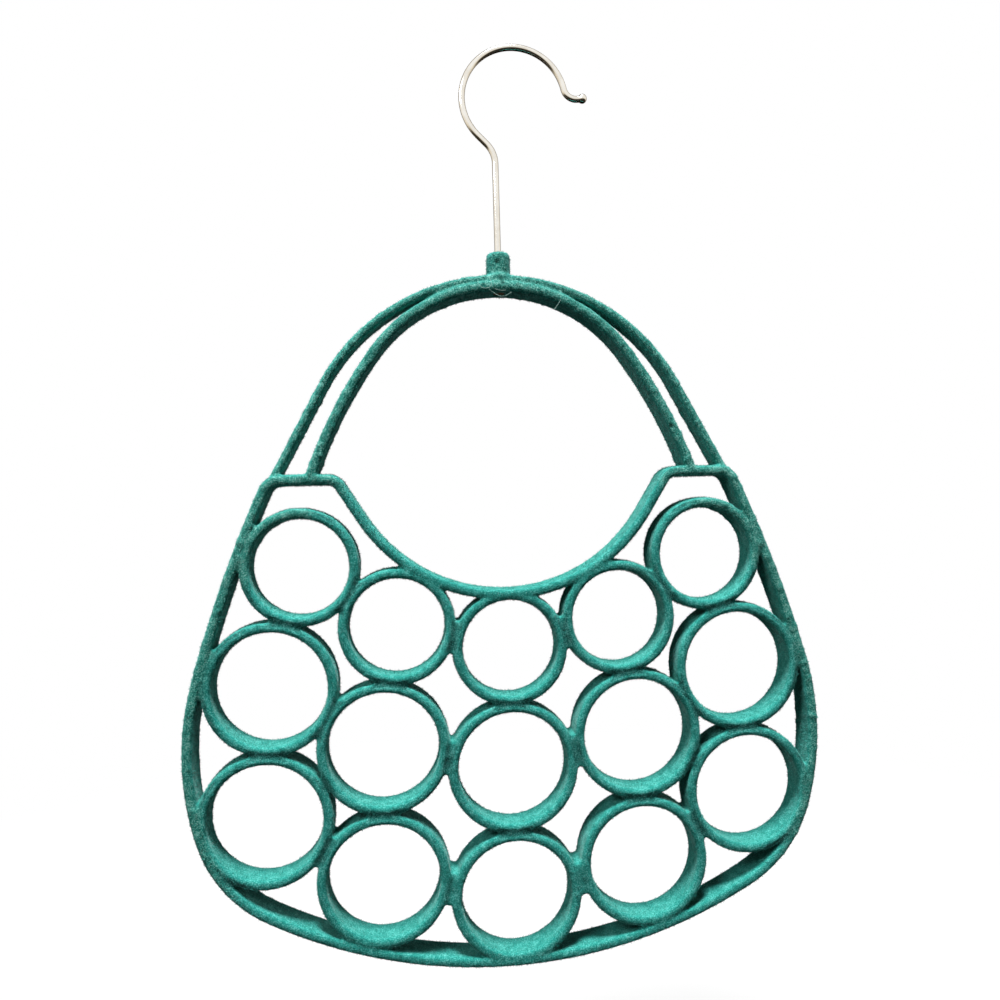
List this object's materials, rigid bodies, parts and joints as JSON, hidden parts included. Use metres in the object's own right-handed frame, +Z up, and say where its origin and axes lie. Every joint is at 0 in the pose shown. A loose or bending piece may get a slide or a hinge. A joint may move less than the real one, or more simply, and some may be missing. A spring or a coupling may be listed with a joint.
{
  "type": "scarf hanger",
  "caption": "Flocked plastic scarf hanger in the outline of a handbag, with rows of open rings for scarves under a loop handle, hung from a round wire hook that swivels in its boss.",
  "frame": {"origin": "inside top of the hook, where the rod carries it, in the hanger's middle plane", "axes": "+Z up, +X to the right seen from the front, so that the hook opens towards +X, and +Y away from the viewer, through the rings"},
  "size_m": [0.2744, 0.014, 0.3997],
  "materials": {
    "flocked_plastic": "short teal flock over moulded plastic",
    "plated_wire": "bright nickel-chrome plating on steel wire"
  },
  "bodies": {
    "hook": {"hook_wire": "plated_wire"},
    "frame": {"hook_boss": "flocked_plastic", "crown_left": "flocked_plastic", "crown_right": "flocked_plastic", "arch_left": "flocked_plastic", "arch_right": "flocked_plastic", "arch_leg_left": "flocked_plastic", "arch_leg_right": "flocked_plastic", "handle_bow_left": "flocked_plastic", "handle_bow_right": "flocked_plastic", "bow_limb_left": "flocked_plastic", "bow_limb_right": "flocked_plastic", "crossbar_left": "flocked_plastic", "crossbar_right": "flocked_plastic", "neckline": "flocked_plastic", "neck_side_left": "flocked_plastic", "neck_side_right": "flocked_plastic", "side_rail_left": "flocked_plastic", "side_rail_right": "flocked_plastic", "hip_rail_left": "flocked_plastic", "hip_rail_right": "flocked_plastic", "corner_rail_left": "flocked_plastic", "corner_rail_right": "flocked_plastic", "bottom_rail": "flocked_plastic", "ring_top_far_left": "flocked_plastic", "ring_top_left": "flocked_plastic", "ring_top_middle": "flocked_plastic", "ring_top_right": "flocked_plastic", "ring_top_far_right": "flocked_plastic", "ring_mid_far_left": "flocked_plastic", "ring_mid_left": "flocked_plastic", "ring_mid_middle": "flocked_plastic", "ring_mid_right": "flocked_plastic", "ring_mid_far_right": "flocked_plastic", "ring_low_far_left": "flocked_plastic", "ring_low_left": "flocked_plastic", "ring_low_middle": "flocked_plastic", "ring_low_right": "flocked_plastic", "ring_low_far_right": "flocked_plastic"}
  },
  "joints": [
    {"name": "hook_swivel", "type": "hinge", "parent": "hook", "child": "frame", "pos_m": [-0.009, 0, -0.1002], "axis": [0, 0, 1], "continuous": true}
  ]
}
